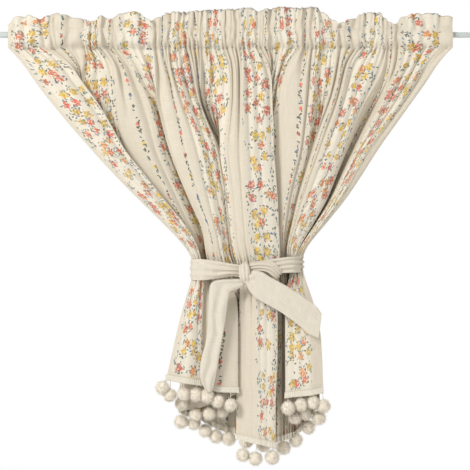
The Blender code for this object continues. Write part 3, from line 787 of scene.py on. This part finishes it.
# ---- Braid
# A flat ribbed cotton braid, sewn over the edge of the bottom hem. The threads of the pom-poms come
# out of its lower edge.
BRAID_UP, BRAID_DOWN, BRAID_THICK, RIB = 8.0, 2.0, 1.2, 3.6        # mm
braid_cotton = fibre_finish("braid_cotton", dye(228, 221, 206), dye(202, 192, 172), 1500.0, 0.3, 0.15)
BRAID_COLUMNS, BRAID_ROWS = 1600, 6
along_hem = np.linspace(0, COLUMNS, BRAID_COLUMNS + 1)
hem_line, hem_face = (np.array([np.interp(along_hem, np.arange(COLUMNS + 1), axis) for axis in row.T]).T
                      for row in (cloth_at[:, -1], cloth_out[:, -2]))
hem_gone = run_of(hem_line)


def braid_place(i, row):
    k, v = round(i * BRAID_COLUMNS), row / BRAID_ROWS
    turn = 2 * math.pi * hem_gone[k] / RIB
    rib = 0.48 * math.sin(turn) * math.sin(math.pi * min(1.0, 0.15 + v))
    down = BRAID_UP - (BRAID_UP + BRAID_DOWN + 0.3 * math.sin(turn) * v) * v
    place = hem_line[k] + hem_face[k] * (0.4 + BRAID_THICK / 2 + rib) + np.array((0, 0, down))
    return (*place, hem_gone[k], v * (BRAID_UP + BRAID_DOWN))


braid = store("hem_braid", cloth_grid(BRAID_COLUMNS, BRAID_ROWS, braid_place), braid_cotton)
body = braid.modifiers.new("body", "SOLIDIFY")
body.thickness, body.offset = BRAID_THICK * MM, 0.0
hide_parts(*("braid_" + flap for flap in FLAPS))
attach(braid, "drape")


# ---- Pom-poms
# Balls of fluffed cotton yarn, tied in the middle and trimmed round, each on a short twisted thread
# from the braid, about 24 mm apart along the hem. Those in the folds hang close to the cloth.
POM_R, POM_PITCH, FLUFF = 11.0, 24.0, 520      # FLUFF is the number of loose fibres
POM_DROP, POM_CLEAR = 15.5, 26.0               # below the hem, and between two middles, in the folds
STRAND_STEPS, STRAND_TURN, STRAND_R = 10, 0.45, 0.42       # of a twisted thread, radii in mm
pom_yarn = fibre_finish("pom_yarn", dye(244, 236, 220), dye(224, 211, 189), 1100.0, 0.5, 0.3)
# where each hangs, in mm: across to the right, to the back, and up from the rod's axis
HANGING = {
    "left": ((-121, -24, -591), (-109, -21, -603.5), (-86, -24, -602), (-65.5, -21, -603.5),
             (-46, -25, -605)),
    "mid_left": ((-28.5, -22, -613.5), (-7.5, -24, -620)),
    "centre": ((13, -22, -704), (34, -24, -709.5), (62, -21, -707.5)),
    "right": ((89, -24, -625), (110.5, -21, -620), (131, -23, -616.5), (148, -22, -622)),
    "inner_left": ((-43, -2, -635.5), (-21, 2, -632), (-89, -3, -619), (-66, 0, -638)),
    "inner_right": ((101, -2, -643), (118, -1, -636), (141, -2.5, -643)),
    "back_left": ((-91, 22, -652), (-69, 24, -655), (-50, 21, -667), (-32, 24, -677), (-10, 22, -680)),
    "back_right": ((82, 22, -695.5), (103, 24, -683.5)),
}


def fluffy_ball(seed):
    """A trimmed ball of yarn ends, in clumps, with loose fibres standing out of it."""
    rng = np.random.default_rng(seed)
    bm = bmesh.new()
    bmesh.ops.create_icosphere(bm, subdivisions=4, radius=1.0)
    for v in bm.verts:
        way = v.co.normalized()
        clump = noise.noise(way * 2.1 + Vector((seed, 0, 0))) * 0.085
        ends = abs(noise.noise(way * 8.5 + Vector((0, seed, 0)))) * 0.16
        v.co = way * (0.97 + clump + ends - 0.05)
    for way in rng.normal(size=(FLUFF, 3)):
        way = Vector(way).normalized()
        reach = 0.10 + 0.14 * rng.random()
        lean = (way + Vector(rng.normal(size=3)) * 0.45).normalized()
        short_thread(bm, way * 0.96 + lean * reach * 0.5, lean, 3, 0.028, 0.010, 2 * reach)
    return as_mesh("fluffy_ball", bm, pom_yarn)


balls = [fluffy_ball(seed) for seed in range(1, 6)]


def ring_edges(ring):
    """The edges that join the corners of a ring."""
    return list({e for v in ring for e in v.link_edges if all(p in ring for p in e.verts)})


def hang_pom(name, centre, body, turn, *nodes):
    """One pom-pom and the twisted thread that it hangs by, from the nearest place on the braid's edge."""
    mesh = balls[turn % len(balls)].copy()
    mesh.transform(Matrix.Translation(Vector(centre) * MM) @ Matrix.Rotation(turn * 2.4, 4, (0.3, 0.5, 0.8))
                   @ Matrix.Scale(POM_R * (1 + 0.04 * math.sin(turn * 5.1)) * MM, 4))
    ball = stand(name, mesh)
    edge = hem_line + hem_face * 0.8 - np.array((0, 0, BRAID_DOWN - 1.0))
    above = edge[edge[:, 2] > centre[2] + 4]
    root = Vector(above[np.argmin(np.linalg.norm(above - (np.array(centre) + (0, 0, 12)), axis=1))])
    down = Vector(centre) - root
    bm = bmesh.new()
    for strand in range(2):
        last = []
        for step in range(STRAND_STEPS + 1):
            share = step / STRAND_STEPS
            angle = share * 3.2 * math.pi + strand * math.pi
            side = Vector((math.cos(angle), math.sin(angle), 0)) * STRAND_TURN
            at = Matrix.Translation((root + down * share + side) * MM)
            made = bmesh.ops.create_circle(bm, segments=6, radius=STRAND_R * MM,
                                           cap_ends=step in (0, STRAND_STEPS), matrix=at)["verts"]
            edges = ring_edges(made)
            if last:
                bmesh.ops.bridge_loops(bm, edges=last + edges)
            last = edges
    bmesh.ops.recalc_face_normals(bm, faces=bm.faces)
    thread = store(name + "_thread", bm, braid_cotton)
    for piece, slot in ((ball, "pom_yarn"), (thread, "braid_cotton")):
        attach(piece, body)
    if nodes:
        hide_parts(*nodes)


hung = []
for flap, places in HANGING.items():
    for k, centre in enumerate(places):
        stood_for = [node for node in (f"pom_pom_{flap}_{k + 1}",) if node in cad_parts]
        hang_pom(f"pom_{flap}_{k + 1}", centre, "fringe_" + flap, len(hung), *stood_for)
        hung.append(np.array(centre))
for at in np.arange(POM_PITCH / 2, CLOTH_W / MM, POM_PITCH):
    k = round(at / (CLOTH_W / MM) * BRAID_COLUMNS)
    centre = hem_line[k] + hem_face[k] * 0.5 - np.array((0, 0, POM_DROP))
    if min(np.linalg.norm(other - centre) for other in hung) > POM_CLEAR:
        hang_pom(f"pom_in_fold_{len(hung)}", tuple(centre), "drape", len(hung))
        hung.append(centre)


# ---- Rod
# A spring tension rod: two thin steel tubes in pale baked enamel, one sliding in the other, a steel
# spring inside with its stop and a guide plug of nylon, and a ribbed rubber foot at each end.
def rod_finish(name, base, other, rough, metal=0.0, grain=(40.0, 900.0), coat=0.0, bump_mm=0.02):
    """A hard or rubbery finish with fine grain along or across the rod, and small wear."""
    made, w, shader = new_finish(name)
    x, y, z = w.parts(w.add("ShaderNodeTexCoord").outputs["Object"])
    along, round_it = grain
    drawn = w.point(w.times(x, along), w.times(y, round_it), w.times(z, round_it))
    streaks, specks = w.noise(drawn, 1.0, 3.0, 0.6), w.noise(w.point(x, y, z), 1400.0)
    w.join(w.mix(w.step(streaks, 0.42, 0.72), base, other), shader.inputs["Base Color"])
    w.join(w.math("MULTIPLY_ADD", streaks, 0.18, rough - 0.09), shader.inputs["Roughness"])
    relieve(w, shader, specks, 0.5, bump_mm * MM)
    set_plain(shader, Metallic=metal, Coat_Weight=coat, Coat_Roughness=0.12)
    return made


enamel = rod_finish("rod_enamel", dye(198, 204, 200), dye(188, 194, 190), 0.32, coat=0.4)
slid_enamel = rod_finish("slid_enamel", dye(196, 201, 198), dye(178, 184, 181), 0.38,
                         grain=(4.0, 1600.0), coat=0.2)
rubber = rod_finish("foot_rubber", dye(214, 214, 208), dye(196, 196, 190), 0.78,
                    grain=(500.0, 500.0), bump_mm=0.12)
steel = rod_finish("spring_steel", dye(168, 168, 166), dye(132, 130, 126), 0.34,
                   metal=1.0, grain=(700.0, 90.0))
nylon = rod_finish("rod_plastic", dye(226, 225, 218), dye(208, 206, 196), 0.48,
                   grain=(160.0, 160.0), bump_mm=0.05)
for node, finish in (("outer_tube", enamel), ("inner_tube", slid_enamel), ("spring_stop", nylon),
                     ("sliding_plug", nylon)):
    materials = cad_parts[node].data.materials
    materials.clear()
    materials.append(finish)

# The spring is ten turns of round wire with closed ends, and it shortens as the rod is pushed in.
SPRING_TURNS, SPRING_WIRE_R, TURN_STEPS = 10, 0.00045, 28
(spring_from, _, _), (spring_to, spring_r, _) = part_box("compression_spring")
coil_bm = bmesh.new()
wire_at = Matrix.Translation((spring_from + SPRING_WIRE_R, spring_r - SPRING_WIRE_R, 0.0))
bmesh.ops.create_circle(coil_bm, cap_ends=True, segments=10, radius=SPRING_WIRE_R, matrix=wire_at)
pitch = (spring_to - spring_from - 2 * SPRING_WIRE_R) / (SPRING_TURNS * TURN_STEPS)
bmesh.ops.spin(coil_bm, geom=coil_bm.verts[:] + coil_bm.edges[:], cent=(0, 0, 0), axis=(1, 0, 0),
               dvec=(pitch, 0, 0), angle=2 * math.pi * SPRING_TURNS, steps=SPRING_TURNS * TURN_STEPS)
bmesh.ops.holes_fill(coil_bm, edges=[e for e in coil_bm.edges if e.is_boundary])
bmesh.ops.recalc_face_normals(coil_bm, faces=coil_bm.faces)
coil = store("rod_spring", coil_bm, steel)
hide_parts("compression_spring")
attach(coil, "outer_rod")
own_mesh(coil)

# Each foot is a moulded cup: three grip ribs, a rounded rim and a slightly hollow pad. The profile
# gives the way along the foot from its mouth, and the radius there, in mm.
FOOT_L = 14.0
FOOT_PROFILE = ((0.0, 4.5), (0.0, 7.2), (0.5, 7.9), (2.2, 7.9), (2.7, 7.3), (3.7, 7.3), (4.2, 7.9),
                (5.9, 7.9), (6.4, 7.3), (7.4, 7.3), (7.9, 7.9), (10.2, 8.4), (13.0, 8.5), (13.8, 8.1),
                (14.0, 7.0), (13.5, 6.0))


def rubber_foot(name, node, body, side):
    low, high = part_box(node)
    start = high[0] if side < 0 else low[0]
    long = high[0] - low[0]
    bm = bmesh.new()
    rings = []
    for away, radius in FOOT_PROFILE:
        at = Vector((start + side * away / FOOT_L * long, 0.0, 0.0))
        upright = Matrix.Translation(at) @ Matrix.Rotation(math.pi / 2, 4, "Y")
        rings.append(bmesh.ops.create_circle(bm, segments=56, radius=radius * MM, matrix=upright)["verts"])
    for one, other in zip(rings, rings[1:]):
        bmesh.ops.bridge_loops(bm, edges=ring_edges(one) + ring_edges(other))
    bm.faces.new(rings[-1])
    bmesh.ops.recalc_face_normals(bm, faces=bm.faces)
    foot = store(name, bm, rubber)
    foot.data.set_sharp_from_angle(angle=math.radians(50))
    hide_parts(node)
    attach(foot, body)


rubber_foot("left_rubber_foot", "left_foot", "outer_rod", -1)
rubber_foot("right_rubber_foot", "right_foot", "inner_rod", 1)


# ---- Stage
# A pale floor well under the curtain, soft white light all round, and a long lens straight ahead.
def stage_finish(name, colour):
    made, _, shader = new_finish(name)
    set_plain(shader, Base_Color=(*colour, 1.0), Roughness=0.9)
    return made


floor_bm = bmesh.new()
bmesh.ops.create_grid(floor_bm, x_segments=1, y_segments=1, size=2.6)
bmesh.ops.translate(floor_bm, verts=floor_bm.verts, vec=(0.0, -0.6, -0.95))
floor = store("floor", floor_bm, stage_finish("pale_floor", (0.86, 0.86, 0.85)))

SKY_STRENGTH = 0.45
world = bpy.data.worlds.new("soft_white")
world.use_nodes = True
w = Wiring(world.node_tree)
backdrop = world.node_tree.nodes["Background"]
backdrop.inputs["Color"].default_value = (1.0, 1.0, 1.0, 1.0)
seen = w.add("ShaderNodeLightPath").outputs["Is Camera Ray"]
w.join(w.math("MULTIPLY_ADD", seen, 1.0 - SKY_STRENGTH, SKY_STRENGTH), backdrop.inputs["Strength"])
bpy.context.scene.world = world

LIT_AT = (0, 0, -0.3)
for name, place, size, watts in (("window_light", (-2.0, -2.3, 1.3), 1.0, 80),
                                 ("fill_light", (2.0, -2.4, 0.0), 2.2, 17),
                                 ("back_light", (0.6, 2.2, 0.8), 1.6, 42)):
    light = stand(name, bpy.data.lights.new(name, "AREA"))
    light.data.size, light.data.energy = size, watts
    light.location = place
    light.rotation_mode = "QUATERNION"
    light.rotation_quaternion = (Vector(LIT_AT) - light.location).to_track_quat("-Z", "Y")

VIEW_W, VIEW_Z, CAMERA_AWAY, SENSOR = 0.7896, -0.3363, 3.6, 36.0        # the sensor in mm, the rest in m
camera = stand("camera", bpy.data.cameras.new("camera"))
camera.data.sensor_width = SENSOR
camera.data.lens = SENSOR * CAMERA_AWAY / VIEW_W
camera.location = (0.0, -CAMERA_AWAY, VIEW_Z)
camera.rotation_euler = (math.radians(90), 0.0, 0.0)
bpy.context.scene.camera = camera
bpy.context.scene.view_settings.view_transform = "Standard"
